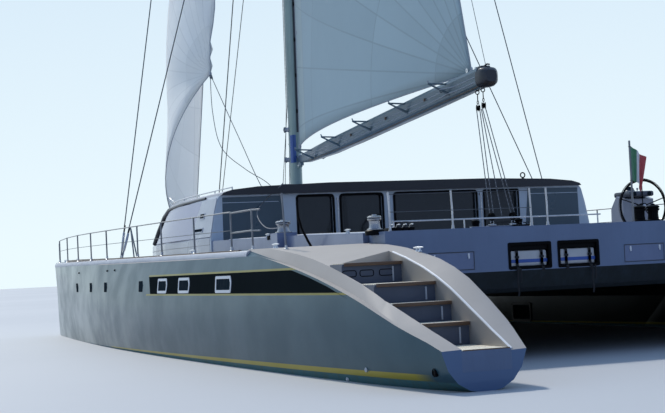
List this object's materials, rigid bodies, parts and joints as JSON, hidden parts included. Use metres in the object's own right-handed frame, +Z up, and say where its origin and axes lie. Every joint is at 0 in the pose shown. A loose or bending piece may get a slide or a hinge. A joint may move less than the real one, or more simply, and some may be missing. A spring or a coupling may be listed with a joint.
{
  "type": "sailing catamaran",
  "caption": "Large sailing catamaran with stepped sterns, bridge deck, deckhouse, swinging boom with mainsail, headsail on a bowsprit, rudders and propellers.",
  "frame": {"origin": "on the waterline, amidships on the centreline", "axes": "+X to the bow, +Y to port, +Z up"},
  "size_m": [27.9513, 10.9052, 33.55],
  "materials": {
    "hull": "metallic silver grey",
    "deck": "pale deck paint",
    "panel": "blue-grey paint",
    "antifouling": "dark teal-grey antifouling",
    "glass": "dark tinted glass",
    "steel": "polished stainless steel",
    "spar": "grey spar paint",
    "sail": "grey-white laminate sailcloth",
    "net": "black net",
    "bronze": "bronze",
    "cushion": "pale fabric",
    "teak": "teak",
    "wire": "dark stays",
    "wheel": "black stitched rim",
    "bunting": "three-colour bunting"
  },
  "bodies": {
    "root": {"hull_port": "hull", "hull_starboard": "hull", "stern_steps_port": "deck", "stern_steps_starboard": "deck", "keel_port": "antifouling", "keel_starboard": "antifouling", "drive_leg_port": "antifouling", "drive_leg_starboard": "antifouling", "bridge_deck": "deck", "aft_beam": "panel", "coaming_port": "panel", "coaming_starboard": "panel", "winch_port": "steel", "winch_starboard": "steel", "cockpit_bench_port": "deck", "cockpit_bench_starboard": "deck", "bench_cushion_port": "cushion", "bench_cushion_starboard": "cushion", "mainsheet_console": "panel", "helm_pedestal": "deck", "cabin_side_port": "deck", "cabin_side_starboard": "deck", "cabin_front": "deck", "windscreen": "glass", "side_window_port": "glass", "side_window_starboard": "glass", "aft_bulkhead": "panel", "aft_window": "glass", "roof": "panel", "saloon_settee": "cushion", "saloon_table": "teak", "front_crossbeam": "spar", "bowsprit": "spar", "trampoline_port": "net", "trampoline_starboard": "net", "mast": "spar", "headsail": "sail", "shrouds_port": "wire", "shrouds_starboard": "wire", "forestays": "wire", "guard_rail_port": "steel", "guard_rail_starboard": "steel", "flagstaff": "steel", "flag": "bunting"},
    "boom": {"boom": "spar", "mainsail": "sail"},
    "rudder_port": {"rudder_port": "antifouling"},
    "rudder_starboard": {"rudder_starboard": "antifouling"},
    "propeller_port": {"propeller_port": "bronze"},
    "propeller_starboard": {"propeller_starboard": "bronze"},
    "helm_wheel": {"helm_wheel": "wheel"},
    "saloon_door": {"saloon_door": "glass"},
    "locker_door_port": {"locker_door_port": "panel"},
    "locker_door_centre": {"locker_door_centre": "panel"},
    "locker_door_starboard": {"locker_door_starboard": "panel"}
  },
  "joints": [
    {"name": "boom_swing", "type": "hinge", "parent": "root", "child": "boom", "pos_m": [5.78815, 0, 4], "axis": [-0.035, 0, 0.9994], "range_deg": [-50, 50]},
    {"name": "rudder_port_steer", "type": "hinge", "parent": "root", "child": "rudder_port", "pos_m": [-10.35, 4.6, 0], "axis": [0, 0, 1], "range_deg": [-35, 35]},
    {"name": "rudder_starboard_steer", "type": "hinge", "parent": "root", "child": "rudder_starboard", "pos_m": [-10.35, -4.6, 0], "axis": [0, 0, 1], "range_deg": [-35, 35]},
    {"name": "helm_wheel_turn", "type": "hinge", "parent": "root", "child": "helm_wheel", "pos_m": [-6, -1.76, 2.21], "axis": [1, 0, 0], "range_deg": [-270, 270]},
    {"name": "propeller_port_spin", "type": "hinge", "parent": "root", "child": "propeller_port", "pos_m": [-7.4, 4.6, -1.12], "axis": [1, 0, 0], "continuous": true},
    {"name": "propeller_starboard_spin", "type": "hinge", "parent": "root", "child": "propeller_starboard", "pos_m": [-7.4, -4.6, -1.12], "axis": [1, 0, 0], "continuous": true},
    {"name": "saloon_door_slide", "type": "slide", "parent": "root", "child": "saloon_door", "axis": [0, 1, 0], "range_m": [0, 0.82]},
    {"name": "locker_door_port_hinge", "type": "hinge", "parent": "root", "child": "locker_door_port", "pos_m": [-8.462, 3.005, 1.324], "axis": [0, -1, 0], "range_deg": [0, 90]},
    {"name": "locker_door_centre_hinge", "type": "hinge", "parent": "root", "child": "locker_door_centre", "pos_m": [-8.462, -0.135, 1.324], "axis": [0, -1, 0], "range_deg": [0, 90]},
    {"name": "locker_door_starboard_hinge", "type": "hinge", "parent": "root", "child": "locker_door_starboard", "pos_m": [-8.462, -3.005, 1.324], "axis": [0, -1, 0], "range_deg": [0, 90]}
  ],
  "couplings": [
    {"joint": "rudder_starboard_steer", "follows": "rudder_port_steer", "ratio": 1},
    {"joint": "helm_wheel_turn", "follows": "rudder_port_steer", "ratio": 7.7}
  ]
}
